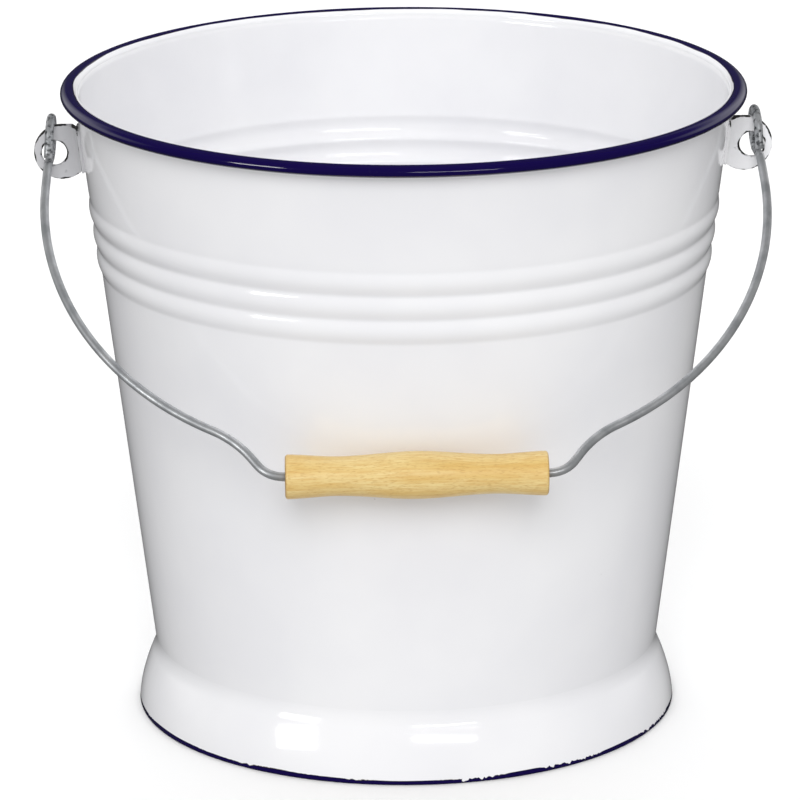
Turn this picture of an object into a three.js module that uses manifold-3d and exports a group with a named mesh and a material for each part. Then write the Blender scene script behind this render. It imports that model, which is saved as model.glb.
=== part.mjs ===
// Enamelled milk pail: a rolled and beaded steel cone on a flared foot, with a wire bail that
// hangs by formed eyes from two folded ears and carries a turned wooden grip.
// Millimetres, +Z up. The origin is where the pail's axis meets the floor, the ears lie on the
// X axis, and the bail hangs down on the -Y side.
import * as THREE from "three";
import { mergeVertices } from "three/addons/utils/BufferGeometryUtils.js";
import Module from "manifold-3d";

// Driving dimensions
const gap = 0.3; // air left between touching pieces
const ringSegments = 48; // steps round the pail
const sheet = 1.2; // steel with enamel on both faces

const wall = {
  radiusAtFloor: 105.5, // outer face of the cone, carried down to the floor
  slope: 0.124, // radius gained for each millimetre of height
  bottom: 8,
  top: 270.3,
  upperSwell: 0.7, // the wall stands out this much more above the beads
};
const bead = { start: 196.2, pitch: 10.5, count: 3, height: 1.2, steps: 5 };
const rim = { radius: 142.2, height: 272.7, halfWidth: 3.8, halfHeight: 2.6, sheet: 1.0, wire: 1.2 };
const base = { top: 17, flangeBottom: 9, corner: 4 };
const foot = { radius: 116.6, neckTop: 25, neckBottom: 20.5, hem: 2.4, hemHeight: 5.2 };
const ear = {
  plate: 1.8, // two sheets folded together
  centre: new THREE.Vector2(145.6, 246.85),
  radius: 12,
  flangeBottom: 237.85,
  flangeTop: 257.25,
  flangeHalfWidth: 11,
  cornerRadius: 4,
  bend: 2.5, // inside radius where plate turns into flange
  hole: new THREE.Vector2(148.9, 246.35),
  holeRadius: 5.4,
};
const bail = {
  wireRadius: 1.85,
  wireSides: 10,
  eyeX: 150.4, // centre of each eye
  eyeHeight: 252.55,
  eyeRadius: 8.8, // centreline
  neck: 14.5, // eye centre to the point where the wire turns into the eye
  cutBack: 3.2, // the cut end stops this far short of the neck
  sweepRadius: 128.5, // the long curve of each arm
  armStraight: 26.5, // the arm runs straight this far below the eye centre
  sweepDepth: 36.4, // how far below the eyes the bail is widest
  bendRadius: 45, // reverse bend towards the grip
  cornerStraight: 4.28,
  cornerRadius: 13.4, // last bend, into the grip
  cornerAngle: 55,
  hang: 39.404, // degrees below level at rest
};
const grip = { halfLength: 54, endRadius: 9.2, waistRadius: 8.15, middleRadius: 9.85, bore: 2.25 };

const radians = THREE.MathUtils.degToRad;
const wasm = await Module();
wasm.setup();

// Materials
const whiteEnamel = { color: 0xf1f2f4, roughness: 0.18, metalness: 0 };
const navyEnamel = { color: 0x1c1550, roughness: 0.18, metalness: 0 };
const galvanised = { color: 0xa7aaad, roughness: 0.42, metalness: 0.9 };
const beech = { color: 0xe2bd7a, roughness: 0.5, metalness: 0 };

function piece(name, geometry, look) {
  const mesh = new THREE.Mesh(geometry, new THREE.MeshStandardMaterial(look));
  mesh.name = name;
  return mesh;
}

// A closed geometry as a solid for cutting and joining, and back again.
function toSolid(geometry) {
  const bare = geometry.clone();
  bare.deleteAttribute("normal");
  bare.deleteAttribute("uv");
  const merged = mergeVertices(bare, 1e-4);
  return new wasm.Manifold(
    new wasm.Mesh({
      numProp: 3,
      vertProperties: new Float32Array(merged.attributes.position.array),
      triVerts: new Uint32Array(merged.index.array),
    }),
  );
}

function toGeometry(solid) {
  const mesh = solid.getMesh();
  const geometry = new THREE.BufferGeometry();
  geometry.setAttribute("position", new THREE.BufferAttribute(mesh.vertProperties, 3));
  geometry.setIndex(new THREE.BufferAttribute(mesh.triVerts, 1));
  geometry.computeVertexNormals();
  return geometry;
}

// A profile of (radius, height) points turned about the Z axis.
function turned(points, segments = ringSegments) {
  return new THREE.LatheGeometry(points, segments).rotateX(Math.PI / 2);
}

function closed(points) {
  return [...points, points[0].clone()];
}

// Outer radius of the cone, with its beads, at a height.
function wallRadius(z) {
  const beadEnd = bead.start + bead.count * bead.pitch;
  const swell = wall.upperSwell * THREE.MathUtils.smoothstep(z, beadEnd - bead.pitch, beadEnd + 4);
  const inBeads = z > bead.start && z < beadEnd;
  const ridge = inBeads ? Math.abs(Math.sin((Math.PI * (z - bead.start)) / bead.pitch)) : 0;
  return wall.radiusAtFloor + wall.slope * z + swell + bead.height * ridge;
}

function bodyWall() {
  const beadSteps = bead.count * bead.steps;
  const beadHeights = Array.from(
    { length: beadSteps + 1 },
    (_, i) => bead.start + (i * bead.pitch) / bead.steps,
  );
  const upperSpan = [232, 250];
  const heights = [wall.bottom, 60, 130, ...beadHeights, ...upperSpan, wall.top];
  const outer = heights.map((z) => new THREE.Vector2(wallRadius(z), z));
  const inner = heights.map((z) => new THREE.Vector2(wallRadius(z) - sheet, z)).reverse();
  return piece("body_wall", turned(closed([...outer, ...inner])), whiteEnamel);
}

// The curled edge: a flattened roll, open in a narrow slot at its lower inner side.
function rolledRim() {
  const slotStart = radians(-110);
  const slotEnd = radians(225);
  const arc = (halfWidth, halfHeight, from, to, steps) =>
    Array.from({ length: steps + 1 }, (_, i) => {
      const angle = from + ((to - from) * i) / steps;
      return new THREE.Vector2(
        rim.radius + halfWidth * Math.cos(angle),
        rim.height + halfHeight * Math.sin(angle),
      );
    });
  const outer = arc(rim.halfWidth, rim.halfHeight, slotStart, slotEnd, 15);
  const inner = arc(rim.halfWidth - rim.sheet, rim.halfHeight - rim.sheet, slotEnd, slotStart, 10);
  return piece("rolled_rim", turned(closed([...outer, ...inner])), navyEnamel);
}

function rimWire() {
  const ring = new THREE.TorusGeometry(rim.radius, rim.wire, 8, ringSegments);
  ring.translate(0, 0, rim.height);
  return piece("rim_wire", ring, galvanised);
}

// The bottom: a flat disc whose flange turns down inside the wall.
function bottomPan() {
  const fitRadius = (z) => wallRadius(z) - sheet - gap;
  const under = base.top - sheet;
  const profile = new THREE.Path();
  profile.moveTo(0, under);
  profile.lineTo(fitRadius(base.top) - base.corner, under);
  profile.quadraticCurveTo(
    fitRadius(under) - sheet, under,
    fitRadius(base.top - base.corner) - sheet, base.top - base.corner,
  );
  profile.lineTo(fitRadius(base.flangeBottom) - sheet, base.flangeBottom);
  profile.lineTo(fitRadius(base.flangeBottom), base.flangeBottom);
  profile.lineTo(fitRadius(base.top - base.corner), base.top - base.corner);
  profile.quadraticCurveTo(
    fitRadius(base.top), base.top,
    fitRadius(base.top) - base.corner, base.top,
  );
  profile.lineTo(0, base.top);
  return piece("bottom_pan", turned(profile.getPoints(4)), whiteEnamel);
}

// The foot: a neck round the wall that flares out to a hemmed edge on the floor.
function footRing() {
  const neckRadius = (z) => wallRadius(z) + gap;
  const hemRadius = foot.radius - foot.hem;
  const profile = new THREE.Path();
  profile.moveTo(foot.radius, 0);
  profile.quadraticCurveTo(
    foot.radius - 0.2, 10.5,
    neckRadius(foot.neckTop) + sheet * 0.8, foot.neckTop,
  );
  profile.lineTo(neckRadius(foot.neckTop), foot.neckTop);
  profile.lineTo(neckRadius(foot.neckBottom), foot.neckBottom);
  profile.quadraticCurveTo(
    foot.radius - sheet - 0.4, 9.5,
    foot.radius - sheet - 0.1, foot.hemHeight,
  );
  profile.lineTo(hemRadius, foot.hemHeight - 0.7);
  profile.lineTo(hemRadius, 0);
  return piece("foot_ring", turned(closed(profile.getPoints(7))), whiteEnamel);
}

// One ear on the +X side: a doubled plate with an eye hole, whose sheets part into two
// flanges that follow the wall.
function earGeometry() {
  const slant = Math.atan(wall.slope);
  const wallAtEar = wallRadius(ear.centre.y);
  const half = ear.plate / 2;
  const depthAt = (y) => wallAtEar - Math.sqrt(wallAtEar ** 2 - y ** 2);

  // plan: flange, bend, plate, seen from above with the wall's face at x = 0
  const side = [
    [-3, ear.flangeHalfWidth],
    [sheet + gap - depthAt(ear.flangeHalfWidth), ear.flangeHalfWidth],
    [sheet + gap - depthAt(half + ear.bend), half + ear.bend],
  ];
  const bendSteps = 4;
  for (let i = 1; i <= bendSteps; i++) {
    const angle = (Math.PI / 2) * (i / bendSteps);
    side.push([
      sheet + gap + ear.bend * (1 - Math.cos(angle)),
      half + ear.bend * (1 - Math.sin(angle)),
    ]);
  }
  side.push([30, half]);
  const otherSide = side.map(([x, y]) => [x, -y]).reverse();
  const plan = new THREE.Shape([...otherSide, ...side].map(([x, y]) => new THREE.Vector2(x, y)));
  const reach = 60;
  const tee = new THREE.ExtrudeGeometry(plan, { depth: reach, bevelEnabled: false });
  tee.translate(0, 0, -reach / 2);
  tee.rotateY(slant);
  tee.translate(wallAtEar, 0, ear.centre.y);

  // side view: the round lug with its hole
  const inward = 125;
  const lowAngle = Math.PI - Math.asin((ear.flangeBottom - ear.centre.y) / ear.radius);
  const lugTop = ear.centre.y + ear.radius;
  const outline = new THREE.Shape();
  outline.moveTo(inward, ear.flangeBottom);
  outline.absarc(ear.centre.x, ear.centre.y, ear.radius, lowAngle, Math.PI * 2.5, false);
  outline.lineTo(ear.centre.x - 3.3, lugTop);
  outline.quadraticCurveTo(ear.centre.x - 5.3, lugTop, ear.centre.x - 5.9, ear.flangeTop);
  outline.lineTo(inward, ear.flangeTop);
  const hole = new THREE.Path();
  hole.absarc(ear.hole.x, ear.hole.y, ear.holeRadius, 0, Math.PI * 2, true);
  outline.holes.push(hole);
  const lug = new THREE.ExtrudeGeometry(outline, { depth: 40, bevelEnabled: false, curveSegments: 14 });
  lug.translate(0, 0, -20);
  lug.rotateX(Math.PI / 2);

  // front view: flanges with round corners, and a strip that lets the whole lug through
  const front = new THREE.Shape();
  const stripHalf = half + ear.bend;
  const stripTop = lugTop + 5;
  const stripBottom = ear.centre.y - ear.radius - 5;
  const round = ear.cornerRadius;
  front.moveTo(stripHalf, stripBottom);
  front.lineTo(stripHalf, ear.flangeBottom);
  front.absarc(ear.flangeHalfWidth - round, ear.flangeBottom + round, round, -Math.PI / 2, 0, false);
  front.absarc(ear.flangeHalfWidth - round, ear.flangeTop - round, round, 0, Math.PI / 2, false);
  front.lineTo(stripHalf, ear.flangeTop);
  front.lineTo(stripHalf, stripTop);
  front.lineTo(-stripHalf, stripTop);
  front.lineTo(-stripHalf, ear.flangeTop);
  front.absarc(round - ear.flangeHalfWidth, ear.flangeTop - round, round, Math.PI / 2, Math.PI, false);
  front.absarc(
    round - ear.flangeHalfWidth, ear.flangeBottom + round, round, Math.PI, Math.PI * 1.5, false,
  );
  front.lineTo(-stripHalf, ear.flangeBottom);
  front.lineTo(-stripHalf, stripBottom);
  const face = new THREE.ExtrudeGeometry(front, { depth: 60, bevelEnabled: false, curveSegments: 4 });
  const alongX = new THREE.Matrix4().makeBasis(
    new THREE.Vector3(0, 1, 0),
    new THREE.Vector3(0, 0, 1),
    new THREE.Vector3(1, 0, 0),
  );
  face.applyMatrix4(alongX);
  face.translate(inward - 5, 0, 0);

  // the wall itself, a gap larger, cut away last
  const coneEnds = [230, 275];
  const coneProfile = [
    new THREE.Vector2(0, coneEnds[0]),
    ...coneEnds.map((z) => new THREE.Vector2(wallRadius(z) + gap, z)),
    new THREE.Vector2(0, coneEnds[1]),
  ];
  const solid = toSolid(tee)
    .intersect(toSolid(lug))
    .intersect(toSolid(face))
    .subtract(toSolid(turned(coneProfile)));
  return toGeometry(solid);
}

// A curve through given points that keeps their own spacing, so bends stay finely stepped.
class StationCurve extends THREE.Curve {
  constructor(points) {
    super();
    this.points = points;
  }
  getPoint(t, target = new THREE.Vector3()) {
    const last = this.points.length - 1;
    const place = THREE.MathUtils.clamp(t, 0, 1) * last;
    const i = Math.min(Math.floor(place), last - 1);
    return target.copy(this.points[i]).lerp(this.points[i + 1], place - i);
  }
  getUtoTmapping(u) {
    return u;
  }
}

// Centreline of one arm on the +X side, in the bail's own plane: from the cut end round the eye
// and down to the grip. Local axes: X across, -Y from the eyes towards the grip.
function armPoints() {
  const lean = (bail.sweepDepth - bail.armStraight) / bail.sweepRadius; // sine of the outward lean at the eye
  const tangent = Math.acos(bail.eyeRadius / bail.neck);
  const place = (along, drop) =>
    new THREE.Vector3(bail.eyeX + along * Math.tan(Math.asin(lean)), -along, -drop);
  const touch = [bail.eyeRadius * Math.cos(tangent), bail.eyeRadius * Math.sin(tangent)];
  const straight = Math.hypot(bail.neck - touch[0], touch[1]);
  const points = [];

  // cut end, beside the neck
  const share = bail.cutBack / straight;
  points.push(place(bail.neck + (touch[0] - bail.neck) * share, -touch[1] * share));
  // eye
  const eyeSteps = 16;
  for (let i = 0; i <= eyeSteps; i++) {
    const angle = -tangent - ((2 * Math.PI - 2 * tangent) * i) / eyeSteps;
    points.push(place(bail.eyeRadius * Math.cos(angle), bail.eyeRadius * Math.sin(angle)));
  }
  // neck, rounded
  const neckRound = 2.4;
  const entry = neckRound / straight;
  points.push(place(bail.neck + (touch[0] - bail.neck) * entry, touch[1] * entry));
  points.push(place(bail.neck - 0.25, 0.4));
  points.push(place(bail.neck + neckRound, 0));

  // long sweep
  const leanOut = bail.armStraight * Math.tan(Math.asin(lean));
  const sweepX = bail.eyeX + leanOut - bail.sweepRadius * Math.sqrt(1 - lean ** 2);
  const sweepFrom = -Math.asin(lean);
  const sweepTo = radians(62.5);
  const sweepSteps = 20;
  for (let i = 0; i <= sweepSteps; i++) {
    const angle = sweepFrom + ((sweepTo - sweepFrom) * i) / sweepSteps;
    points.push(
      new THREE.Vector3(
        sweepX + bail.sweepRadius * Math.cos(angle),
        -bail.sweepDepth - bail.sweepRadius * Math.sin(angle),
        0,
      ),
    );
  }
  // reverse bend, a short straight, and the last bend into the grip
  let heading = Math.PI / 2 - sweepTo;
  let at = points.at(-1);
  const walk = (length) => {
    at = at.clone().add(new THREE.Vector3(-Math.cos(heading), -Math.sin(heading), 0).setLength(length));
    points.push(at);
  };
  const bend = (radius, turn, steps) => {
    for (let i = 0; i < steps; i++) {
      heading += turn / steps / 2;
      walk(2 * radius * Math.sin(Math.abs(turn) / steps / 2));
      heading += turn / steps / 2;
    }
  };
  bend(bail.bendRadius, radians(bail.cornerAngle) - heading, 5);
  walk(bail.cornerStraight);
  bend(bail.cornerRadius, -radians(bail.cornerAngle), 7);
  return points;
}

function bailAssembly() {
  const right = armPoints();
  const left = right.map((p) => new THREE.Vector3(-p.x, p.y, p.z)).reverse();
  const path = new StationCurve([...right, ...left]);
  const section = new THREE.Shape();
  section.absarc(0, 0, bail.wireRadius, 0, Math.PI * 2, false);
  const wire = new THREE.ExtrudeGeometry(section, {
    steps: path.points.length - 1,
    extrudePath: path,
    curveSegments: bail.wireSides / 2,
  });

  // grip: outline along its own axis, swelling in the middle and at both ends
  const outline = [];
  const steps = 14;
  const waistAt = grip.halfLength * 0.6;
  for (let i = 0; i <= steps; i++) {
    const x = grip.halfLength * ((2 * i) / steps - 1);
    const out = Math.abs(x) > waistAt;
    const share = out
      ? (Math.abs(x) - waistAt) / (grip.halfLength - waistAt)
      : 1 - Math.abs(x) / waistAt;
    const swell = (out ? grip.endRadius : grip.middleRadius) - grip.waistRadius;
    outline.push(
      new THREE.Vector2(grip.waistRadius + swell * THREE.MathUtils.smoothstep(share, 0, 1), x),
    );
  }
  const bore = [
    new THREE.Vector2(grip.bore, grip.halfLength),
    new THREE.Vector2(grip.bore, -grip.halfLength),
  ];
  const handle = new THREE.LatheGeometry(closed([...outline, ...bore]), 24);
  handle.rotateZ(-Math.PI / 2);

  const group = new THREE.Group();
  group.position.set(0, 0, bail.eyeHeight);
  group.rotation.x = radians(bail.hang);
  const gripMesh = piece("grip", handle, beech);
  gripMesh.position.y = right.at(-1).y;
  group.add(piece("bail_wire", wire, galvanised), gripMesh);
  return group;
}

const pail = new THREE.Group();
pail.add(bodyWall(), rolledRim(), rimWire(), bottomPan(), footRing());
const earShape = earGeometry();
const earRight = piece("ear_right", earShape, whiteEnamel);
const earLeft = piece("ear_left", earShape.clone(), whiteEnamel);
earLeft.rotation.z = Math.PI;
pail.add(earRight, earLeft, bailAssembly());

export default pail;
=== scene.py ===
import math

import bpy
import bmesh
from mathutils import Matrix, Vector


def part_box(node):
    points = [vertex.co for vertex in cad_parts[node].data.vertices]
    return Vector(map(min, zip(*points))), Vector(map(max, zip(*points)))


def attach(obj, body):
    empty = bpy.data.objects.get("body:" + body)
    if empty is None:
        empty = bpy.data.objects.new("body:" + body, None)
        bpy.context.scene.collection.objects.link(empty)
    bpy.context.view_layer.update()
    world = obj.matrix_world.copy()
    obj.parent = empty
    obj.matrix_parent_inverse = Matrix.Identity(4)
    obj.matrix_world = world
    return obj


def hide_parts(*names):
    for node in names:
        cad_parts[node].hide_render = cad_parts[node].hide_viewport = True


# Enamelled milk pail. Metres, +Z up, the ears on the X axis, the bail hanging down on the -Y side.
# Every dictionary below is in millimetres unless it says otherwise.

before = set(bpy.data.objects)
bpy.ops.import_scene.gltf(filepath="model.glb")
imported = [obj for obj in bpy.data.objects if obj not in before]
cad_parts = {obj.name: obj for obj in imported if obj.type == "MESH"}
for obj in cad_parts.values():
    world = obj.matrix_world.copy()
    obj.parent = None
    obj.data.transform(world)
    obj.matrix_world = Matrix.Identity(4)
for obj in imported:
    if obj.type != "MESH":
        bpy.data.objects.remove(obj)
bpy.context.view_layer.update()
mm = 0.001
print("frame loaded:", len(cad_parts), "nodes")


def smoothStep(value, low, high):
    share = min(max((value - low) / (high - low), 0), 1)
    return share * share * (3 - 2 * share)


def smoothMax(a, b, width):  # the larger of two, with a fillet of about this width where they cross
    share = max(width - abs(a - b), 0) / width
    return max(a, b) + share * share * width / 4


def quadratic(start, control, end, steps):  # points of a quadratic curve, both ends included
    points = []
    for i in range(steps + 1):
        t = i / steps
        points.append(tuple(
            (1 - t) ** 2 * a + 2 * t * (1 - t) * b + t * t * c
            for a, b, c in zip(start, control, end)
        ))
    return points


def addObject(name, bm):
    bm.normal_update()
    mesh = bpy.data.meshes.new(name)
    bm.to_mesh(mesh)
    bm.free()
    mesh.shade_smooth()
    piece = bpy.data.objects.new(name, mesh)
    bpy.context.scene.collection.objects.link(piece)
    return piece


# A profile of (radius, height) turned about an axis. A point at radius 0 becomes one vertex.
def turnProfile(name, profile, steps, axis="Z"):
    bm = bmesh.new()
    rings = []
    for radius, height in profile:
        if radius < 1e-6:
            rings.append([bm.verts.new((0, 0, height * mm))])
            continue
        rings.append([
            bm.verts.new((
                radius * mm * math.cos(2 * math.pi * k / steps),
                radius * mm * math.sin(2 * math.pi * k / steps),
                height * mm,
            ))
            for k in range(steps)
        ])
    pairs = list(zip(rings, rings[1:]))
    if profile[0][0] > 1e-6:
        pairs.append((rings[-1], rings[0]))
    for low, high in pairs:
        for k in range(steps):
            n = (k + 1) % steps
            corners = [low[k % len(low)], low[n % len(low)], high[n % len(high)], high[k % len(high)]]
            corners = list(dict.fromkeys(corners))
            if len(corners) > 2:
                bm.faces.new(corners)
    if axis == "X":
        bmesh.ops.rotate(bm, verts=bm.verts, matrix=Matrix.Rotation(math.pi / 2, 3, "Y"))
    bmesh.ops.recalc_face_normals(bm, faces=bm.faces)
    return addObject(name, bm)


def finishPiece(piece, material, body, slot, *nodes):
    piece.data.materials.clear()
    piece.data.materials.append(material)
    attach(piece, body)
    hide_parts(*nodes)


def colour(code):  # sRGB hex to linear
    parts = [int(code[i:i + 2], 16) / 255 for i in (1, 3, 5)]
    return tuple(c / 12.92 if c <= 0.04045 else ((c + 0.055) / 1.055) ** 2.4 for c in parts) + (1,)


def perMetre(size):  # texture scale for a pattern whose features are this many millimetres across
    return 1000 / size


def newMaterial(name):
    material = bpy.data.materials.new(name)
    material.use_nodes = True
    material.node_tree.nodes.clear()
    return material, material.node_tree


# Adds a node. An input takes a plain value, a socket, or a node, whose first output is used.
def addNode(tree, kind, inputs=None, **settings):
    node = tree.nodes.new(kind)
    for name, value in settings.items():
        setattr(node, name, value)
    for name, value in (inputs or {}).items():
        if isinstance(name, int):
            socket = node.inputs[name]
        else:
            socket = next(s for s in node.inputs if s.enabled and s.name == name)
        if isinstance(value, bpy.types.Node):
            value = next(s for s in value.outputs if s.enabled)
        if isinstance(value, bpy.types.NodeSocket):
            tree.links.new(value, socket)
        else:
            socket.default_value = value
    return node


# Vitreous enamel: glass frit fired on steel in two or three dips. The firing leaves a deep, even
# gloss, a faint ripple a few millimetres across, and here and there a black speck of iron.
enamel = {
    "white": "#f5f5f7", "whiteShade": "#f0f0f3", "mottle": 60.0,
    "navy": "#110542", "navyThin": "#0f0a2c", "scorch": "#4a3d22",
    "speck": "#3a3027", "speckSpacing": 16.0, "speckSize": 0.22,
    "ripple": 7.0, "rippleDepth": 0.006, "peel": 1.8, "peelDepth": 0.001,
    "footLine": 2.3, "footWander": 0.5, "toothWidth": 3.0, "toothDepth": 2.0,
    "wanderLength": 45.0, "toothPatch": 40.0,
    "rimLine": 140.1, "rimWander": 0.45, "rimWanderLength": 26.0,
    "dipThickness": 0.04, "dipTaper": 0.7, "softLine": 0.07, "scorchLength": 24.0,
    "roughness": 0.09, "ior": 1.52,
}


# "edge" picks where the dark blue dip lies: "foot" below a height, "rim" outside a radius.
def enamelMaterial(name, edge=None):
    material, tree = newMaterial(name)
    place = addNode(tree, "ShaderNodeTexCoord").outputs["Object"]
    mottle = addNode(tree, "ShaderNodeTexNoise", {
        "Vector": place, "Scale": perMetre(enamel["mottle"]), "Detail": 3.0,
    })
    shade = addNode(tree, "ShaderNodeMapRange", {"Value": mottle, "From Min": 0.35, "From Max": 0.65})
    body = addNode(tree, "ShaderNodeMix", {
        "Factor": shade, "A": colour(enamel["white"]), "B": colour(enamel["whiteShade"]),
    }, data_type="RGBA")

    # specks: a small dot near the middle of some cells
    cells = addNode(tree, "ShaderNodeTexVoronoi", {
        "Vector": place, "Scale": perMetre(enamel["speckSpacing"]),
    })
    chance = addNode(tree, "ShaderNodeSeparateColor", {"Color": cells.outputs["Color"]})
    speckRadius = addNode(tree, "ShaderNodeMapRange", {
        "Value": chance, "From Min": 0.55, "To Max": enamel["speckSize"] / enamel["speckSpacing"],
    })
    speck = addNode(tree, "ShaderNodeMath", {0: cells, 1: speckRadius}, operation="LESS_THAN")
    body = addNode(tree, "ShaderNodeMix", {
        "Factor": speck, "A": body, "B": colour(enamel["speck"]),
    }, data_type="RGBA")

    ripple = addNode(tree, "ShaderNodeTexNoise", {
        "Vector": place, "Scale": perMetre(enamel["ripple"]), "Detail": 2.0,
    }, normalize=False)
    peel = addNode(tree, "ShaderNodeTexNoise", {
        "Vector": place, "Scale": perMetre(enamel["peel"]), "Detail": 2.0,
    }, normalize=False)
    finePeel = addNode(tree, "ShaderNodeMath", {0: peel, 1: enamel["peelDepth"]}, operation="MULTIPLY")
    height = addNode(tree, "ShaderNodeMath", {
        0: ripple, 1: enamel["rippleDepth"], 2: finePeel,
    }, operation="MULTIPLY_ADD")

    if edge:
        axes = addNode(tree, "ShaderNodeSeparateXYZ", {"Vector": place})
        if edge == "foot":
            # hand-dipped: a slow wander, and in places a row of small teeth between drips
            wander = addNode(tree, "ShaderNodeTexNoise", {
                "Vector": place, "W": 3.0, "Scale": perMetre(enamel["wanderLength"]), "Detail": 1.0,
            }, noise_dimensions="4D", normalize=False)
            teeth = addNode(tree, "ShaderNodeTexNoise", {
                "Vector": place, "W": 9.0, "Scale": perMetre(enamel["toothWidth"]), "Detail": 1.0,
            }, noise_dimensions="4D", normalize=False)
            teeth = addNode(tree, "ShaderNodeMath", {0: teeth}, operation="ABSOLUTE")
            patch = addNode(tree, "ShaderNodeTexNoise", {
                "Vector": place, "W": 5.0, "Scale": perMetre(enamel["toothPatch"]), "Detail": 1.0,
            }, noise_dimensions="4D")
            patch = addNode(tree, "ShaderNodeMapRange", {
                "Value": patch, "From Min": 0.52, "From Max": 0.62, "To Max": -enamel["toothDepth"],
            }, interpolation_type="SMOOTHSTEP")
            line = addNode(tree, "ShaderNodeMath", {
                0: wander, 1: enamel["footWander"], 2: enamel["footLine"],
            }, operation="MULTIPLY_ADD")
            line = addNode(tree, "ShaderNodeMath", {0: teeth, 1: patch, 2: line}, operation="MULTIPLY_ADD")
            within = addNode(tree, "ShaderNodeMath", {
                0: axes.outputs["Z"], 1: -1000.0, 2: line,
            }, operation="MULTIPLY_ADD")
        else:
            flat = addNode(tree, "ShaderNodeCombineXYZ", {"X": axes.outputs["X"], "Y": axes.outputs["Y"]})
            radius = addNode(tree, "ShaderNodeVectorMath", {0: flat}, operation="LENGTH").outputs["Value"]
            wander = addNode(tree, "ShaderNodeTexNoise", {
                "Vector": place, "W": 7.0, "Scale": perMetre(enamel["rimWanderLength"]), "Detail": 2.0,
            }, noise_dimensions="4D", normalize=False)
            line = addNode(tree, "ShaderNodeMath", {
                0: wander, 1: enamel["rimWander"], 2: -enamel["rimLine"],
            }, operation="MULTIPLY_ADD")
            within = addNode(tree, "ShaderNodeMath", {
                0: radius, 1: 1000.0, 2: line,
            }, operation="MULTIPLY_ADD")
        # "within" is how many millimetres inside the blue a point lies
        dipped = addNode(tree, "ShaderNodeMapRange", {
            "Value": within, "From Min": -enamel["softLine"], "From Max": enamel["softLine"],
        })
        thickness = addNode(tree, "ShaderNodeMapRange", {"Value": within, "From Max": enamel["dipTaper"]})
        navy = addNode(tree, "ShaderNodeMix", {
            "Factor": thickness, "A": colour(enamel["navyThin"]), "B": colour(enamel["navy"]),
        }, data_type="RGBA")
        body = addNode(tree, "ShaderNodeMix", {"Factor": dipped, "A": body, "B": navy}, data_type="RGBA")
        # a scorched brown hairline in places, where the blue thins out over the white
        hairline = addNode(tree, "ShaderNodeMath", {0: within, 1: -0.04, 2: 0.13}, operation="COMPARE")
        scorch = addNode(tree, "ShaderNodeTexNoise", {
            "Vector": place, "W": 13.0, "Scale": perMetre(enamel["scorchLength"]), "Detail": 2.0,
        }, noise_dimensions="4D")
        scorch = addNode(tree, "ShaderNodeMapRange", {
            "Value": scorch, "From Min": 0.5, "From Max": 0.62, "To Max": 0.8,
        })
        scorch = addNode(tree, "ShaderNodeMath", {0: scorch, 1: hairline}, operation="MULTIPLY")
        body = addNode(tree, "ShaderNodeMix", {
            "Factor": scorch, "A": body, "B": colour(enamel["scorch"]),
        }, data_type="RGBA")
        height = addNode(tree, "ShaderNodeMath", {
            0: thickness, 1: enamel["dipThickness"], 2: height,
        }, operation="MULTIPLY_ADD")

    bump = addNode(tree, "ShaderNodeBump", {"Strength": 1.0, "Distance": mm, "Height": height})
    shader = addNode(tree, "ShaderNodeBsdfPrincipled", {
        "Base Color": body, "Roughness": enamel["roughness"], "IOR": enamel["ior"], "Normal": bump,
    })
    addNode(tree, "ShaderNodeOutputMaterial", {"Surface": shader})
    return material


# The ears: the same white enamel, thin over sheared edges and folds, where it greys and chips off
# and the steel beneath shows black; along the hole's rim and the fold this grey and black is partly
# painted shade of the edge faces and the crease. The left ear's coat colour is painted grey all over:
# painted shade for the shade that ear sits in, while the right ear's is a brighter white than the wall's.
earFinish = {
    # the second coat colour is the left ear's painted shade grey
    "full": "#fcfcfe", "fullChipped": 0.455, "paintedShadeGrey": "#cdcdd0", "leftChipped": 0.41,
    "grey": "#77767a", "steel": "#1d1b1a", "chip": 5.0,
    "chipEdge": 0.05, "grazedBand": 0.14, "ripple": 4.0, "rippleDepth": 0.015, "chipDepth": 0.15,
    "roughness": 0.14, "steelRoughness": 0.6,
}


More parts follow.
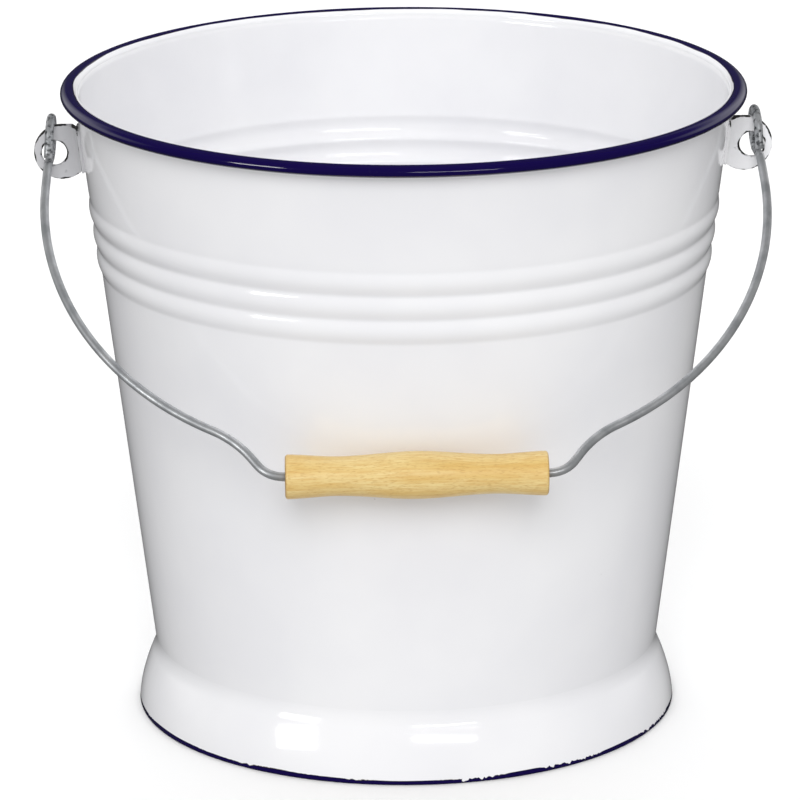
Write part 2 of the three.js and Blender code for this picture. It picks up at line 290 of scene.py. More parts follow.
def chippedEnamelMaterial(name, coat, chipped):
    material, tree = newMaterial(name)
    place = addNode(tree, "ShaderNodeTexCoord").outputs["Object"]
    # edge mask: partly real chipped enamel, partly painted shade along the hole's rim and the fold
    wearAndShade = addNode(tree, "ShaderNodeAttribute", attribute_name="edgeWearAndShade").outputs["Fac"]
    patches = addNode(tree, "ShaderNodeTexNoise", {
        "Vector": place, "W": 2.0, "Scale": perMetre(earFinish["chip"]), "Detail": 3.0,
    }, noise_dimensions="4D", normalize=False)
    halfPatches = addNode(tree, "ShaderNodeMath", {0: patches, 1: 0.5}, operation="MULTIPLY")
    loss = addNode(tree, "ShaderNodeMath", {0: wearAndShade, 1: 0.5, 2: halfPatches}, operation="MULTIPLY_ADD")
    chip = addNode(tree, "ShaderNodeMapRange", {
        "Value": loss, "From Min": chipped, "From Max": chipped + earFinish["chipEdge"],
    })
    grazed = addNode(tree, "ShaderNodeMapRange", {
        "Value": loss, "From Min": chipped - earFinish["grazedBand"], "From Max": chipped, "To Max": 0.6,
    })
    body = addNode(tree, "ShaderNodeMix", {
        "Factor": grazed, "A": colour(coat), "B": colour(earFinish["grey"]),
    }, data_type="RGBA")
    body = addNode(tree, "ShaderNodeMix", {
        "Factor": chip, "A": body, "B": colour(earFinish["steel"]),
    }, data_type="RGBA")
    ripple = addNode(tree, "ShaderNodeTexNoise", {
        "Vector": place, "Scale": perMetre(earFinish["ripple"]), "Detail": 2.0,
    }, normalize=False)
    ripple = addNode(tree, "ShaderNodeMath", {
        0: ripple, 1: earFinish["rippleDepth"],
    }, operation="MULTIPLY")
    height = addNode(tree, "ShaderNodeMath", {
        0: chip, 1: -earFinish["chipDepth"], 2: ripple,
    }, operation="MULTIPLY_ADD")
    bump = addNode(tree, "ShaderNodeBump", {"Strength": 1.0, "Distance": mm, "Height": height})
    roughness = addNode(tree, "ShaderNodeMapRange", {
        "Value": chip, "To Min": earFinish["roughness"], "To Max": earFinish["steelRoughness"],
    })
    shader = addNode(tree, "ShaderNodeBsdfPrincipled", {
        "Base Color": body, "Roughness": roughness, "IOR": enamel["ior"], "Normal": bump,
    })
    addNode(tree, "ShaderNodeOutputMaterial", {"Surface": shader})
    return material


# Galvanised steel wire: drawn through a die, then hot-dipped in zinc. The drawing leaves fine
# lengthwise lines, the zinc a dull pale satin with cloudy patches, scuffed darker where it rubs.
# Real drawing lines are finer than 0.1 mm and are drawn coarser here so that they show.
zinc = {
    "pale": "#cfd1d3", "cloud": "#a9acaf", "scuff": "#4c4e51", "cloudSize": 9.0,
    "line": 0.35, "lineLength": 30.0, "lineDepth": 0.02, "scuffSize": 1.6, "scuffDepth": 0.05,
    "metallic": 0.65, "roughness": 0.38, "cloudRoughness": 0.55,
}


def galvanisedMaterial():
    material, tree = newMaterial("galvanisedWire")
    place = addNode(tree, "ShaderNodeAttribute", attribute_name="straightWire").outputs["Vector"]
    rub = addNode(tree, "ShaderNodeAttribute", attribute_name="rub").outputs["Fac"]
    clouds = addNode(tree, "ShaderNodeTexNoise", {
        "Vector": place, "Scale": perMetre(zinc["cloudSize"]), "Detail": 3.0,
    })
    cloudShare = addNode(tree, "ShaderNodeMapRange", {"Value": clouds, "From Min": 0.35, "From Max": 0.65})
    stretched = addNode(tree, "ShaderNodeMapping", {
        "Vector": place,
        "Scale": [perMetre(zinc[size]) for size in ("line", "line", "lineLength")],
    })
    lines = addNode(tree, "ShaderNodeTexNoise", {"Vector": stretched, "Scale": 1.0, "Detail": 2.0})
    lineShare = addNode(tree, "ShaderNodeMapRange", {
        "Value": lines, "From Min": 0.55, "From Max": 0.75, "To Max": 0.35,
    })
    scuffs = addNode(tree, "ShaderNodeTexNoise", {
        "Vector": place, "W": 4.0, "Scale": perMetre(zinc["scuffSize"]), "Detail": 3.0,
    }, noise_dimensions="4D")
    scuffs = addNode(tree, "ShaderNodeMapRange", {"Value": scuffs, "From Min": 0.48, "From Max": 0.64})
    scuffed = addNode(tree, "ShaderNodeMath", {0: scuffs, 1: rub}, operation="MULTIPLY")
    body = addNode(tree, "ShaderNodeMix", {
        "Factor": cloudShare, "A": colour(zinc["pale"]), "B": colour(zinc["cloud"]),
    }, data_type="RGBA")
    body = addNode(tree, "ShaderNodeMix", {
        "Factor": lineShare, "A": body, "B": colour(zinc["cloud"]),
    }, data_type="RGBA")
    body = addNode(tree, "ShaderNodeMix", {
        "Factor": scuffed, "A": body, "B": colour(zinc["scuff"]),
    }, data_type="RGBA")
    dents = addNode(tree, "ShaderNodeMath", {0: scuffed, 1: -zinc["scuffDepth"]}, operation="MULTIPLY")
    height = addNode(tree, "ShaderNodeMath", {
        0: lines, 1: zinc["lineDepth"], 2: dents,
    }, operation="MULTIPLY_ADD")
    bump = addNode(tree, "ShaderNodeBump", {"Strength": 0.8, "Distance": mm, "Height": height})
    roughness = addNode(tree, "ShaderNodeMapRange", {
        "Value": cloudShare, "To Min": zinc["roughness"], "To Max": zinc["cloudRoughness"],
    })
    shader = addNode(tree, "ShaderNodeBsdfPrincipled", {
        "Base Color": body, "Metallic": zinc["metallic"], "Roughness": roughness, "Normal": bump,
    })
    addNode(tree, "ShaderNodeOutputMaterial", {"Surface": shader})
    return material


# Varnished beech: turned on a lathe and dipped in clear varnish. The turning leaves fine pale
# grain lengthwise with short ray flecks, and the varnish a soft shine that sparkles in the pores.
# Real pores are finer than 0.1 mm and are drawn coarser here so that they show.
wood = {
    "light": "#edd494", "body": "#e2bf74", "warm": "#d9ad62", "dark": "#c08f49", "endGrain": "#bd924f",
    "bandWidth": 6.0, "bandLength": 70.0, "grain": 0.7, "grainLength": 14.0,
    "pore": 0.4, "poreLength": 2.4, "poreDepth": 0.03, "grainDepth": 0.03,
    "roughness": 0.36, "ior": 1.5,
}


def beechMaterial():
    material, tree = newMaterial("varnishedBeech")
    coordinates = addNode(tree, "ShaderNodeTexCoord")
    place = coordinates.outputs["Object"]
    bandSpace = addNode(tree, "ShaderNodeMapping", {
        "Vector": place,
        "Scale": [perMetre(wood[size]) for size in ("bandLength", "bandWidth", "bandWidth")],
    })
    bands = addNode(tree, "ShaderNodeTexNoise", {"Vector": bandSpace, "Scale": 1.0, "Detail": 3.0})
    grainSpace = addNode(tree, "ShaderNodeMapping", {
        "Vector": place,
        "Scale": [perMetre(wood[size]) for size in ("grainLength", "grain", "grain")],
    })
    grain = addNode(tree, "ShaderNodeTexNoise", {
        "Vector": grainSpace, "Scale": 1.0, "Detail": 3.0, "Roughness": 0.55, "Distortion": 0.3,
    })
    poreSpace = addNode(tree, "ShaderNodeMapping", {
        "Vector": place,
        "Scale": [perMetre(wood[size]) for size in ("poreLength", "pore", "pore")],
    })
    pores = addNode(tree, "ShaderNodeTexNoise", {"Vector": poreSpace, "Scale": 1.0, "Detail": 1.0})
    bandShare = addNode(tree, "ShaderNodeMapRange", {"Value": bands, "From Min": 0.38, "From Max": 0.62})
    grainShare = addNode(tree, "ShaderNodeMapRange", {
        "Value": grain, "From Min": 0.4, "From Max": 0.72, "To Max": 0.75,
    })
    poreShare = addNode(tree, "ShaderNodeMapRange", {
        "Value": pores, "From Min": 0.54, "From Max": 0.74, "To Max": 0.5,
    })
    body = addNode(tree, "ShaderNodeMix", {
        "Factor": bandShare, "A": colour(wood["light"]), "B": colour(wood["body"]),
    }, data_type="RGBA")
    body = addNode(tree, "ShaderNodeMix", {
        "Factor": grainShare, "A": body, "B": colour(wood["warm"]),
    }, data_type="RGBA")
    body = addNode(tree, "ShaderNodeMix", {
        "Factor": poreShare, "A": body, "B": colour(wood["dark"]),
    }, data_type="RGBA")
    facing = addNode(tree, "ShaderNodeSeparateXYZ", {"Vector": coordinates.outputs["Normal"]})
    endwise = addNode(tree, "ShaderNodeMath", {0: facing.outputs["X"]}, operation="ABSOLUTE")
    ends = addNode(tree, "ShaderNodeMapRange", {
        "Value": endwise, "From Min": 0.55, "From Max": 0.9, "To Max": 0.75,
    })
    body = addNode(tree, "ShaderNodeMix", {
        "Factor": ends, "A": body, "B": colour(wood["endGrain"]),
    }, data_type="RGBA")
    pits = addNode(tree, "ShaderNodeMath", {0: poreShare, 1: -wood["poreDepth"]}, operation="MULTIPLY")
    height = addNode(tree, "ShaderNodeMath", {
        0: grain, 1: wood["grainDepth"], 2: pits,
    }, operation="MULTIPLY_ADD")
    bump = addNode(tree, "ShaderNodeBump", {"Strength": 1.0, "Distance": mm, "Height": height})
    shader = addNode(tree, "ShaderNodeBsdfPrincipled", {
        "Base Color": body, "Roughness": wood["roughness"], "IOR": wood["ior"], "Normal": bump,
    })
    addNode(tree, "ShaderNodeOutputMaterial", {"Surface": shader})
    return material


whiteEnamel = enamelMaterial("whiteVitreousEnamel")
footEnamel = enamelMaterial("whiteEnamelNavyFoot", "foot")
rimEnamel = enamelMaterial("navyVitreousEnamel", "rim")
fullEarEnamel = chippedEnamelMaterial("chippedWhiteEnamel", earFinish["full"], earFinish["fullChipped"])
# the left ear: the same enamel, with its coat painted grey as shade
shadedEarEnamel = chippedEnamelMaterial("paintedShadeChippedEnamel", earFinish["paintedShadeGrey"], earFinish["leftChipped"])
zincWire = galvanisedMaterial()
beech = beechMaterial()
print("materials made")

wall = {
    "radiusAtFloor": 105.5, "slope": 0.124, "bottom": 8.0, "upperSwell": 0.7, "sheet": 1.2,
    "beadStart": 196.2, "beadPitch": 10.5, "beads": 3, "beadHeight": 1.2, "beadSoftness": 0.14,
    "beadRunIn": 0.8, "filletStart": 268.4,
    "lipHeight": 272.9, "lipRadius": 139.6, "lipInset": 0.43, "lipStart": 258,
    "plainStep": 6.0, "beadStep": 0.75, "steps": 240,
}


def wallRadius(z):
    beadEnd = wall["beadStart"] + wall["beads"] * wall["beadPitch"]
    swell = wall["upperSwell"] * smoothStep(z, beadEnd - wall["beadPitch"], beadEnd + 4)
    runIn = wall["beadRunIn"]
    inBeads = smoothStep(z, wall["beadStart"] - runIn, wall["beadStart"] + runIn)
    inBeads *= 1 - smoothStep(z, beadEnd - runIn, beadEnd + runIn)
    wave = math.sin(math.pi * (z - wall["beadStart"]) / wall["beadPitch"])
    soft = wall["beadSoftness"]
    ridge = (math.hypot(wave, soft) - soft) / (math.hypot(1, soft) - soft)
    return wall["radiusAtFloor"] + wall["slope"] * z + swell + wall["beadHeight"] * ridge * inBeads


def wallHeights(low, high):
    heights = []
    z = low
    while z < high - 1e-6:
        heights.append(z)
        z += wall["beadStep"] if 190 < z < 234 else wall["plainStep"]
    return heights + [high]


outside = [(wallRadius(z), z) for z in wallHeights(wall["bottom"], wall["filletStart"])]
# the fillet of enamel where the wall runs into the underside of the roll
outside += quadratic(outside[-1], (wallRadius(270), 270.0), (141.4, 270.4), 6)[1:]
inside = [(wall["lipRadius"], wall["lipHeight"])]
for z in reversed(wallHeights(wall["bottom"], wall["lipHeight"])):
    # the top runs smoothly into the roll
    flush = wall["lipInset"] * smoothStep(z, wall["lipStart"], wall["lipHeight"])
    inside.append((wallRadius(z) - wall["sheet"] - flush, z))
wallPiece = turnProfile("pailWall", outside + inside, wall["steps"])
finishPiece(wallPiece, whiteEnamel, "pail", "white_enamel", "body_wall")

rim = {"radius": 142.2, "height": 272.7, "halfWidth": 3.8, "halfHeight": 2.6, "around": 36, "steps": 240}
section = []
for i in range(rim["around"]):
    angle = 2 * math.pi * i / rim["around"]
    section.append((
        rim["radius"] + rim["halfWidth"] * math.cos(angle),
        rim["height"] + rim["halfHeight"] * math.sin(angle),
    ))
rimPiece = turnProfile("rolledRim", section, rim["steps"])
finishPiece(rimPiece, rimEnamel, "pail", "navy_enamel", "rolled_rim")
print("wall and rim made")

base = {"top": 17.0, "sheet": 1.2, "groove": 0.9, "fillet": 3.4, "flangeBottom": 9.0, "steps": 192}


def innerRadius(z):
    return wallRadius(z) - wall["sheet"] + 0.05


top, grooveRadius = base["top"], innerRadius(base["top"]) - base["fillet"]
profile = [(0, top), (30, top), (60, top), (85, top)]
grooveFloor = top - base["groove"]
profile += quadratic((grooveRadius - 4, top), (grooveRadius - 1.5, top), (grooveRadius, grooveFloor), 5)
profile += quadratic(
    (grooveRadius, grooveFloor),
    (innerRadius(grooveFloor) - 0.3, grooveFloor - 0.6),
    (innerRadius(top + base["fillet"]), top + base["fillet"]),
    8,
)[1:]
under = top - base["sheet"]
flange = innerRadius(base["flangeBottom"])
low = base["flangeBottom"]
profile += [(flange, low + 0.5), (flange - 0.3, low + 0.1)]
profile += [(flange - 1.1, low + 0.1), (flange - 1.4, low + 0.5)]
profile += quadratic((flange - 1.0, under - 3.4), (flange - 1.1, under), (flange - 4.6, under), 6)
profile += [(80, under), (50, under), (20, under), (0, under)]
bottomPiece = turnProfile("pailBottom", profile, base["steps"])
finishPiece(bottomPiece, whiteEnamel, "pail", "white_enamel", "bottom_pan")

foot = {
    "radius": 116.6, "neckTop": 25.0, "neckBottom": 20.5, "hem": 2.4, "hemHeight": 5.2, "sheet": 1.2,
    "blend": 2.2, "edge": 1.0, "middleHeight": 10.5, "blendFrom": 12, "skirtTop": 31.5, "steps": 240,
}


# the flare: a quadratic curve from the floor to the neck, carried on above it along its own slope
def flareRadius(z):
    neckRadius = wallRadius(foot["neckTop"]) + 1.26
    low, high = (foot["radius"], 0.0), (neckRadius, foot["neckTop"])
    middle = (foot["radius"] - 0.2, foot["middleHeight"])
    if z > high[1]:
        return neckRadius + (z - high[1]) * (high[0] - middle[0]) / (high[1] - middle[1])
    a = high[1] - 2 * middle[1]
    t = (-2 * middle[1] + math.sqrt(4 * middle[1] ** 2 + 4 * a * z)) / (2 * a)
    return (1 - t) ** 2 * low[0] + 2 * t * (1 - t) * middle[0] + t * t * high[0]


edge = foot["edge"]
profile = []
for i in range(7):
    angle = math.pi / 2 * i / 6
    profile.append((foot["radius"] - edge + edge * math.sin(angle), edge - edge * math.cos(angle)))
heights = [edge + 0.7 * i for i in range(1, 43)]
for z in heights:
    blended = smoothMax(flareRadius(z), wallRadius(z), foot["blend"])
    profile.append((blended if z > foot["blendFrom"] else flareRadius(z), z))
profile += [(wallRadius(foot["skirtTop"]) - 0.15, foot["skirtTop"])]
profile += [(wallRadius(foot["neckBottom"]) - 0.2, foot["neckBottom"])]
profile += quadratic(
    (wallRadius(foot["neckBottom"]) + 0.1, foot["neckBottom"] - 0.2),
    (foot["radius"] - foot["sheet"] - 0.4, 9.5),
    (foot["radius"] - foot["sheet"] - 0.1, foot["hemHeight"] + 0.6),
    10,
)[1:]
hemRadius, hemTop = foot["radius"] - foot["hem"], foot["hemHeight"]
profile += quadratic((hemRadius + 0.7, hemTop), (hemRadius, hemTop), (hemRadius, hemTop - 0.9), 4)
profile += quadratic((hemRadius, 0.8), (hemRadius, 0.0), (hemRadius + 0.8, 0.0), 4)
footPiece = turnProfile("pailFoot", profile, foot["steps"])
finishPiece(footPiece, footEnamel, "pail", "white_enamel", "foot_ring")
print("bottom and foot made")

ear = {
    "voxel": 0.3, "smoothing": 7, "lugX": 145.6, "lugZ": 246.85, "lugRadius": 12.0,
    "holeX": 148.9, "holeZ": 246.35, "holeRadius": 5.4, "lugTop": 258.85, "foldX": 138.0,
    "weldSpots": ((8.0, 243.2), (8.0, 251.7)), "weldRadius": 2.2, "weldDepth": 0.35,
    "flangeThickness": 2.5, "innerFace": 0.7, "sink": 0.8, "darkEdgeStart": 0.3, "darkEdgeEnd": 1.2, "far": 9,
}


def earPiece(name, node, side, material):
    piece = bpy.data.objects.new(name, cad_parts[node].data.copy())
    bpy.context.scene.collection.objects.link(piece)
    remesh = piece.modifiers.new("remesh", "REMESH")
    remesh.mode = "VOXEL"
    remesh.voxel_size = ear["voxel"] * mm
    smooth = piece.modifiers.new("smooth", "SMOOTH")
    smooth.factor = 0.5
    smooth.iterations = ear["smoothing"]
    graph = bpy.context.evaluated_depsgraph_get()
    mesh = bpy.data.meshes.new_from_object(piece.evaluated_get(graph))
    piece.modifiers.clear()
    piece.data = mesh
    wearAndShadeValues = []
    for vertex in mesh.vertices:
        x, y, z = vertex.co.x * side / mm, vertex.co.y / mm, vertex.co.z / mm
        outFrom = math.hypot(x, y) - wallRadius(z)
        # the inner faces of the flanges go into the wall, as if fused to it
        if outFrom < ear["innerFace"]:
            reach = math.hypot(x, y)
            x, y = x * (reach - ear["sink"]) / reach, y * (reach - ear["sink"]) / reach
        # spot welds leave shallow round dents in the flanges
        for spotY, spotZ in ear["weldSpots"]:
            away = math.hypot(abs(y) - spotY, z - spotZ)
            if outFrom < ear["flangeThickness"]:
                x -= ear["weldDepth"] * (1 - smoothStep(away, ear["weldRadius"] * 0.4, ear["weldRadius"]))
        vertex.co = Vector((x * side, y, z)) * mm
        # dark near the lug's edge, the top edge, the hole's rim and the fold: partly chipped enamel, and
        # along the hole's rim and the fold partly painted shade of the edge faces and the crease
        lug = math.hypot(x - ear["lugX"], z - ear["lugZ"])
        hole = math.hypot(x - ear["holeX"], z - ear["holeZ"])
        fold = abs(x - ear["foldX"] + wall["slope"] * (ear["lugZ"] - z)) + 0.35
        nearEdge = min(
            abs(lug - ear["lugRadius"]) if x > 138.6 else ear["far"],
            abs(hole - ear["holeRadius"]),
            abs(z - ear["lugTop"]) if x < 146 else ear["far"],
            fold if abs(y) < 3.4 else ear["far"],
        )
        wearAndShadeValues.append(1 - smoothStep(nearEdge, ear["darkEdgeStart"], ear["darkEdgeEnd"]))
    mesh.attributes.new("edgeWearAndShade", "FLOAT", "POINT").data.foreach_set("value", wearAndShadeValues)
    mesh.shade_smooth()
    finishPiece(piece, material, "pail", "white_enamel", node)


earPiece("earRight", "ear_right", 1, fullEarEnamel)
earPiece("earLeft", "ear_left", -1, shadedEarEnamel)
print("ears made")

bail = {
    "wireRadius": 1.85, "sides": 20, "eyeX": 150.4, "eyeHeight": 252.55, "eyeRadius": 8.8, "neck": 14.5,
    "neckRound": 2.9, "cutBack": 3.2, "armStraight": 26.5, "sweepRadius": 128.5, "sweepDepth": 36.4,
    "sweepEnd": 62.5, "bendRadius": 45.0, "cornerStraight": 4.28, "cornerRadius": 13.4, "cornerAngle": 55.0,
    "hang": 39.404, "eyeSteps": 56, "sweepSteps": 70, "endBreak": 0.72, "rubFull": 11, "rubNone": 17,
}


# Centreline of the +X arm in the bail's own plane, from the cut end round the eye to the grip.
def armPoints():
    lean = (bail["sweepDepth"] - bail["armStraight"]) / bail["sweepRadius"]
    leanTangent = math.tan(math.asin(lean))
    tangent = math.acos(bail["eyeRadius"] / bail["neck"])
    touch = (bail["eyeRadius"] * math.cos(tangent), bail["eyeRadius"] * math.sin(tangent))
    straight = math.hypot(bail["neck"] - touch[0], touch[1])

    def place(along, drop):
        return Vector((bail["eyeX"] + along * leanTangent, -along, -drop))

    share = bail["cutBack"] / straight
    points = [place(bail["neck"] + (touch[0] - bail["neck"]) * share, -touch[1] * share)]
    for i in range(1, 4):  # the straight run to the eye
        s = share + (1 - share) * i / 4
        points.append(place(bail["neck"] + (touch[0] - bail["neck"]) * s, -touch[1] * s))
    for i in range(bail["eyeSteps"] + 1):
        angle = -tangent - (2 * math.pi - 2 * tangent) * i / bail["eyeSteps"]
        points.append(place(bail["eyeRadius"] * math.cos(angle), bail["eyeRadius"] * math.sin(angle)))
    # the neck: from the eye's tangent into the arm, rounded
    neckRound = bail["neckRound"]
    entry = neckRound / straight
    enter = (bail["neck"] + (touch[0] - bail["neck"]) * entry, touch[1] * entry)
    for s in (0.75, 0.5, 0.25):
        points.append(place(enter[0] + (touch[0] - enter[0]) * s, enter[1] + (touch[1] - enter[1]) * s))
    points += [place(*p) for p in quadratic(enter, (bail["neck"], 0.0), (bail["neck"] + neckRound, 0.0), 6)]
    middle = bail["armStraight"] * leanTangent
    sweepX = bail["eyeX"] + middle - bail["sweepRadius"] * math.sqrt(1 - lean ** 2)
    start, end = -math.asin(lean), math.radians(bail["sweepEnd"])
    neckEnd = bail["neck"] + neckRound
    for s in (0.35, 0.7):
        points.append(place(neckEnd + (bail["armStraight"] - bail["neck"] - neckRound) * s, 0))
    for i in range(bail["sweepSteps"] + 1):
        angle = start + (end - start) * i / bail["sweepSteps"]
        points.append(Vector((
            sweepX + bail["sweepRadius"] * math.cos(angle),
            -bail["sweepDepth"] - bail["sweepRadius"] * math.sin(angle),
            0,
        )))
    heading = math.pi / 2 - end
    at = points[-1].copy()

    def walk(length):
        nonlocal at
        at = at + Vector((-math.cos(heading), -math.sin(heading), 0)) * length
        points.append(at)

    def bend(radius, turn, steps):
        nonlocal heading
        for _ in range(steps):
            heading += turn / steps / 2
            walk(2 * radius * math.sin(abs(turn) / steps / 2))
            heading += turn / steps / 2

    bend(bail["bendRadius"], math.radians(bail["cornerAngle"]) - heading, 16)
    walk(bail["cornerStraight"])
    bend(bail["cornerRadius"], -math.radians(bail["cornerAngle"]), 20)
    return points


# A round tube along points, with softly broken cut ends. It keeps, for each vertex, where it
# would lie on the straight wire.
def wireTube(name, points, radius, sides):
    count = len(points)
    forward = []
    for i in range(count):
        forward.append((points[min(i + 1, count - 1)] - points[max(i - 1, 0)]).normalized())
    side = forward[0].orthogonal().normalized()
    broken = bail["endBreak"]
    rings = [(points[0], forward[0], broken), (points[0] + forward[0] * 0.25, forward[0], 1.0)]
    rings += [(points[i], forward[i], 1.0) for i in range(1, count - 1)]
    rings += [(points[-1] - forward[-1] * 0.25, forward[-1], 1.0), (points[-1], forward[-1], broken)]
    bm = bmesh.new()
    along, previous, loops, straightPlaces = 0.0, rings[0][0], [], []
    for spot, ahead, share in rings:
        side = (side - ahead * side.dot(ahead)).normalized()
        across = ahead.cross(side)
        along += (spot - previous).length
        previous = spot
        loop = []
        for k in range(sides):
            angle = 2 * math.pi * k / sides
            u, v = radius * share * math.cos(angle), radius * share * math.sin(angle)
            loop.append(bm.verts.new((spot + side * u + across * v) * mm))
            straightPlaces += [u * mm, v * mm, along * mm]
        loops.append(loop)
    for low, high in zip(loops, loops[1:]):
        for k in range(sides):
            n = (k + 1) % sides
            bm.faces.new((low[k], low[n], high[n], high[k]))
    bm.faces.new(reversed(loops[0]))
    bm.faces.new(loops[-1])
    bmesh.ops.recalc_face_normals(bm, faces=bm.faces)
    piece = addObject(name, bm)
    straightWire = piece.data.attributes.new("straightWire", "FLOAT_VECTOR", "POINT")
    straightWire.data.foreach_set("vector", straightPlaces)
    return piece


swing = Matrix.Translation((0, 0, bail["eyeHeight"])) @ Matrix.Rotation(math.radians(bail["hang"]), 4, "X")
rightArm = armPoints()
leftArm = [Vector((-p.x, p.y, p.z)) for p in reversed(rightArm)]
wirePiece = wireTube("bailWire", [swing @ p for p in rightArm + leftArm], bail["wireRadius"], bail["sides"])
rub = []  # how near the wire is to an eye, where the ear scuffs it
for vertex in wirePiece.data.vertices:
    x, y, z = vertex.co / mm
    fromEye = math.hypot(y, z - bail["eyeHeight"])
    rub.append(1 - smoothStep(fromEye, bail["rubFull"], bail["rubNone"]) if abs(x) > 140 else 0)
wirePiece.data.attributes.new("rub", "FLOAT", "POINT").data.foreach_set("value", rub)
finishPiece(wirePiece, zincWire, "bail", "galvanised_wire", "bail_wire")
print("bail wire made")

grip = {
    "halfLength": 54.0, "endRadius": 9.2, "waistRadius": 8.15, "middleRadius": 9.85, "bore": 2.25,
    "waistAt": 0.6, "endRound": 1.3, "lengthSteps": 54, "steps": 96,
}


def gripRadius(x):
    waistAt = grip["halfLength"] * grip["waistAt"]
    beyond = abs(x) > waistAt
    share = (abs(x) - waistAt) / (grip["halfLength"] - waistAt) if beyond else 1 - abs(x) / waistAt
    full = grip["endRadius"] if beyond else grip["middleRadius"]
    return grip["waistRadius"] + (full - grip["waistRadius"]) * smoothStep(share, 0, 1)


half, corner = grip["halfLength"], grip["endRound"]
body = []
for i in range(grip["lengthSteps"] + 1):
    x = (half - corner) * (2 * i / grip["lengthSteps"] - 1)
    body.append((gripRadius(x), x))
roundEnd = []
for i in range(1, 6):
    angle = math.pi / 2 * i / 5
    inward, outward = corner * (1 - math.cos(angle)), corner * math.sin(angle)
    roundEnd.append((gripRadius(half) - inward, half - corner + outward))
bore = grip["bore"]
face = [(6.0, half), (bore + 0.9, half), (bore + 0.45, half - 0.12), (bore, half - 0.7)]
ending = roundEnd + face
profile = [(r, -x) for r, x in reversed(ending)] + body + ending
gripPiece = turnProfile("woodGrip", profile, grip["steps"], axis="X")
gripLow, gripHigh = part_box("grip")
gripPiece.location = (gripLow + gripHigh) / 2
finishPiece(gripPiece, beech, "grip", "varnished_wood", "grip")

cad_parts["rim_wire"].data.materials.clear()
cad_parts["rim_wire"].data.materials.append(zincWire)
print("grip made")

# The stage: a pale paper floor in even room light, a little stronger from below, with a broad
# front light and a weaker back one. Four small softboxes are seen only in the gloss, which
# otherwise mirrors a dark room with a pale wall behind, to either side of the middle.
# Angles in degrees, azimuth 0 towards the camera; sizes in metres. Pairs of wall limits are
# where it fades in, as parts of a unit direction.
studio = {
    "floorSize": 40.0, "floorColour": "#fbfbfb", "roomBelow": 0.71, "roomAbove": 0.64,
    "roomInGloss": 0.05, "wallInGloss": 0.75,
    "wallAside": (0.15, 0.4), "wallBehind": (0.1, 0.45), "wallLevel": 0.26, "wallFade": (0.14, 0.3),
    "boxDistance": 3.0,
    "fills": {  # azimuth, elevation, spread, strength
        "frontLight": (-3, 37, 32, 1.48),
        "backLight": (180, 50, 80, 1.0),
    },
    "boxes": {  # azimuth, elevation, roll, width, height, radiance
        "rightUpper": (15.0, 24.9, -6, 1.46, 0.09, 14),
        "rightLower": (14.5, 18.0, -6, 1.36, 0.13, 14),
        "leftBlock": (-50.0, 12.0, 15, 0.90, 0.60, 14),
        "leftStrip": (-52.0, 24.9, 8, 0.84, 0.08, 14),
    },
}

floorMaterial, floorTree = newMaterial("paperFloor")
floorShader = addNode(floorTree, "ShaderNodeBsdfPrincipled", {
    "Base Color": colour(studio["floorColour"]), "Roughness": 0.9, "Specular IOR Level": 0.0,
})
addNode(floorTree, "ShaderNodeOutputMaterial", {"Surface": floorShader})
bm = bmesh.new()
bmesh.ops.create_grid(bm, x_segments=1, y_segments=1, size=studio["floorSize"] / 2)
floor = addObject("floor", bm)
floor.data.materials.append(floorMaterial)
floor.visible_diffuse = False  # the room light below stands in for its bounce
floor.visible_glossy = False

world = bpy.data.worlds.new("studio")
bpy.context.scene.world = world
world.use_nodes = True
world.node_tree.nodes.clear()
direction = addNode(world.node_tree, "ShaderNodeTexCoord").outputs["Generated"]
direction = addNode(world.node_tree, "ShaderNodeSeparateXYZ", {"Vector": direction})
room = addNode(world.node_tree, "ShaderNodeMapRange", {
    "Value": direction.outputs["Z"], "From Min": -0.1, "From Max": 0.1,
    "To Min": studio["roomBelow"], "To Max": studio["roomAbove"],
})
aside = addNode(world.node_tree, "ShaderNodeMath", {0: direction.outputs["X"]}, operation="ABSOLUTE")
aside = addNode(world.node_tree, "ShaderNodeMapRange", {
    "Value": aside, "From Min": studio["wallAside"][0], "From Max": studio["wallAside"][1],
})
level = addNode(world.node_tree, "ShaderNodeMath", {
    0: direction.outputs["Z"], 1: studio["wallLevel"],
}, operation="SUBTRACT")
level = addNode(world.node_tree, "ShaderNodeMath", {0: level}, operation="ABSOLUTE")
level = addNode(world.node_tree, "ShaderNodeMapRange", {
    "Value": level, "From Min": studio["wallFade"][0], "From Max": studio["wallFade"][1],
    "To Min": studio["wallInGloss"], "To Max": 0.0,
})
behind = addNode(world.node_tree, "ShaderNodeMapRange", {
    "Value": direction.outputs["Y"],
    "From Min": studio["wallBehind"][0], "From Max": studio["wallBehind"][1],
})
level = addNode(world.node_tree, "ShaderNodeMath", {0: level, 1: behind}, operation="MULTIPLY")
inGloss = addNode(world.node_tree, "ShaderNodeMath", {
    0: aside, 1: level, 2: studio["roomInGloss"],
}, operation="MULTIPLY_ADD")
mirrored = addNode(world.node_tree, "ShaderNodeLightPath").outputs["Is Glossy Ray"]
room = addNode(world.node_tree, "ShaderNodeMix", {"Factor": mirrored, "A": room, "B": inGloss})
room = addNode(world.node_tree, "ShaderNodeBackground", {"Color": (1, 1, 1, 1), "Strength": room})
addNode(world.node_tree, "ShaderNodeOutputWorld", {"Surface": room})


def directionTo(azimuth, elevation):
    a, e = math.radians(azimuth), math.radians(elevation)
    return Vector((math.sin(a) * math.cos(e), -math.cos(a) * math.cos(e), math.sin(e)))


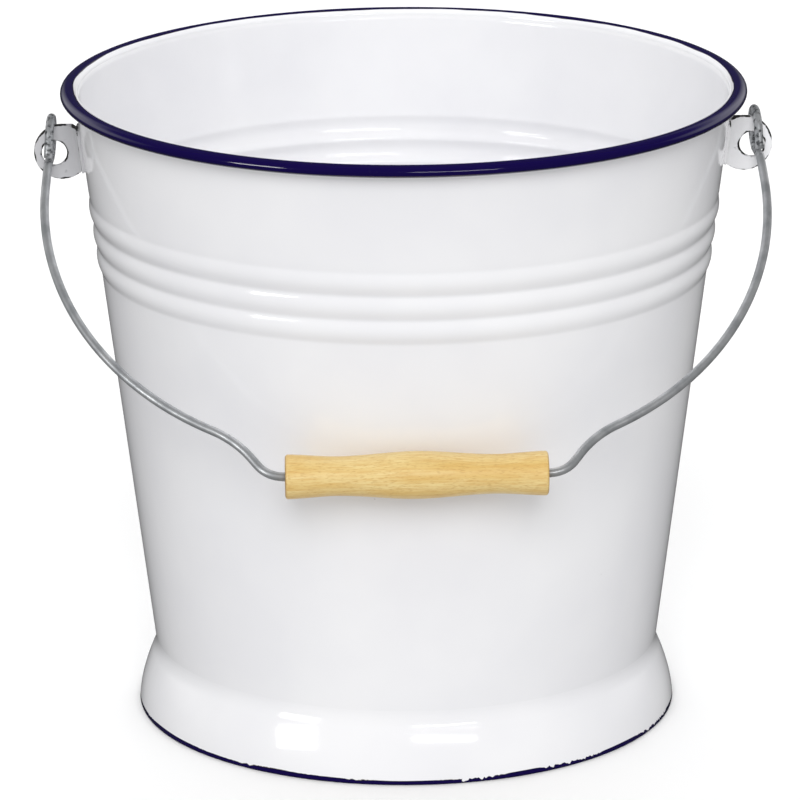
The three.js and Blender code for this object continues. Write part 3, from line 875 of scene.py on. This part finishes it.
def addLight(name, kind, azimuth, elevation, roll=0, **settings):
    data = bpy.data.lights.new(name, kind)
    for key, value in settings.items():
        setattr(data, key, value)
    light = bpy.data.objects.new(name, data)
    bpy.context.scene.collection.objects.link(light)
    towards = directionTo(azimuth, elevation)
    light.location = Vector((0, 0, cameraSet["lookHeight"])) + towards * studio["boxDistance"]
    turned = (-towards).to_track_quat("-Z", "Y").to_matrix() @ Matrix.Rotation(math.radians(roll), 3, "Z")
    light.rotation_euler = turned.to_euler()
    return light


cameraSet = {
    "distance": 2.5, "lookHeight": 0.14, "azimuth": -0.035, "elevation": 0.2901,  # metres and radians
    "pan": -0.0009, "tilt": -0.0023, "roll": -0.0048,
    "lens": 260.4,  # millimetres, on a 36 mm sensor
}

for name, (azimuth, elevation, spread, strength) in studio["fills"].items():
    fill = addLight(name, "SUN", azimuth, elevation, energy=strength, angle=math.radians(spread))
    fill.visible_glossy = False
for name, (azimuth, elevation, roll, width, height, radiance) in studio["boxes"].items():
    power = radiance * math.pi * width * height
    box = addLight(
        name, "AREA", azimuth, elevation, roll, shape="RECTANGLE", size=width, size_y=height, energy=power
    )
    box.visible_diffuse = False

elevation, pan, roll = cameraSet["elevation"], cameraSet["pan"], cameraSet["roll"]
pitch = cameraSet["tilt"] - elevation
lookAt = Vector((0, 0, cameraSet["lookHeight"]))
spot = lookAt + directionTo(0, math.degrees(elevation)) * cameraSet["distance"]
ahead = Vector((math.sin(pan) * math.cos(pitch), math.cos(pan) * math.cos(pitch), math.sin(pitch)))
right = ahead.cross(Vector((0, 0, 1))).normalized()
up = right.cross(ahead)
rolledRight = right * math.cos(roll) + up * math.sin(roll)
rolledUp = up * math.cos(roll) - right * math.sin(roll)
cameraData = bpy.data.cameras.new("camera")
cameraData.lens = cameraSet["lens"]
cameraData.sensor_width = 36
cameraData.clip_end = 100
camera = bpy.data.objects.new("camera", cameraData)
bpy.context.scene.collection.objects.link(camera)
turn = Matrix.Rotation(cameraSet["azimuth"], 4, "Z")
facing = Matrix((rolledRight, rolledUp, -ahead)).transposed().to_4x4()
camera.matrix_world = turn @ Matrix.Translation(spot) @ facing
bpy.context.scene.camera = camera
bpy.context.scene.view_settings.view_transform = "Standard"
print("stage made")
